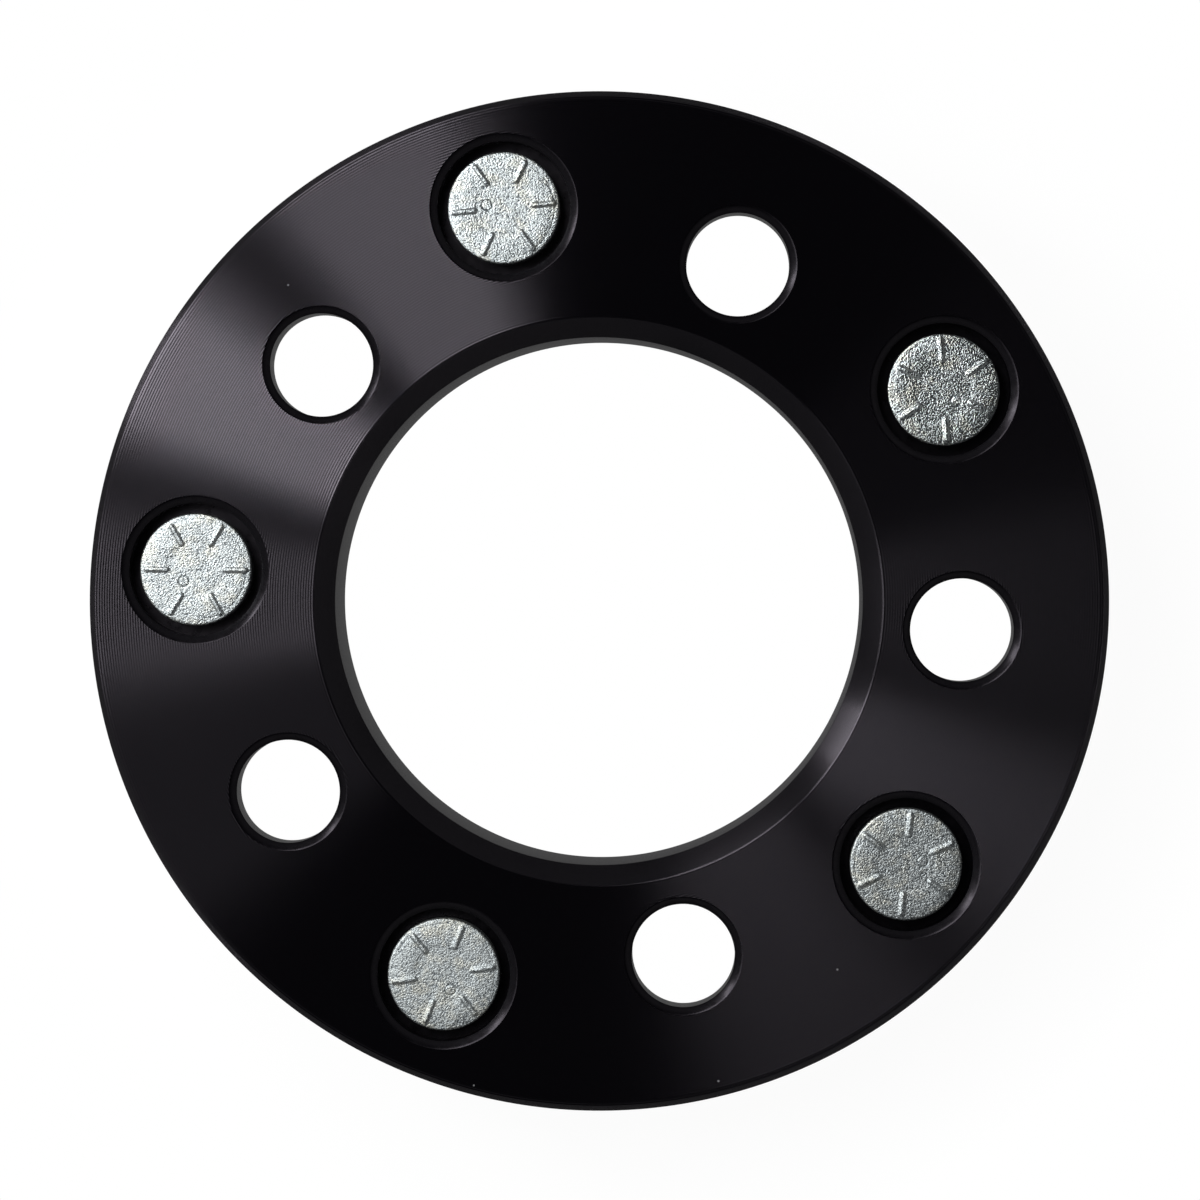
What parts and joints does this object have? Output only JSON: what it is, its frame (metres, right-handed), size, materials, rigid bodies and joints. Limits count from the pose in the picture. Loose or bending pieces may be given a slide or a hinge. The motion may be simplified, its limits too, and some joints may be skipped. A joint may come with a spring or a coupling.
{
  "type": "wheel spacer",
  "caption": "Bolt-on wheel spacer: a thick black ring with a large centre bore, a circle of hub bolt holes with nut pockets, and a wider circle of pressed-in wheel studs.",
  "frame": {"origin": "centre of the hub face, where its plane crosses the axis of the bore", "axes": "+Z out of the hub face along the bore's axis, towards the hub; -Z towards the wheel, along the studs; +Y through one stud"},
  "size_m": [0.16, 0.16, 0.0526],
  "materials": {
    "black_anodised_ring": "turned face, black anodised, with fine concentric tool marks",
    "zinc_plated_stud": "forged steel, bright zinc plated, slightly grainy"
  },
  "bodies": {
    "root": {"spacer_body": "black_anodised_ring", "wheel_stud_1": "zinc_plated_stud", "wheel_stud_2": "zinc_plated_stud", "wheel_stud_3": "zinc_plated_stud", "wheel_stud_4": "zinc_plated_stud", "wheel_stud_5": "zinc_plated_stud"}
  },
  "joints": []
}
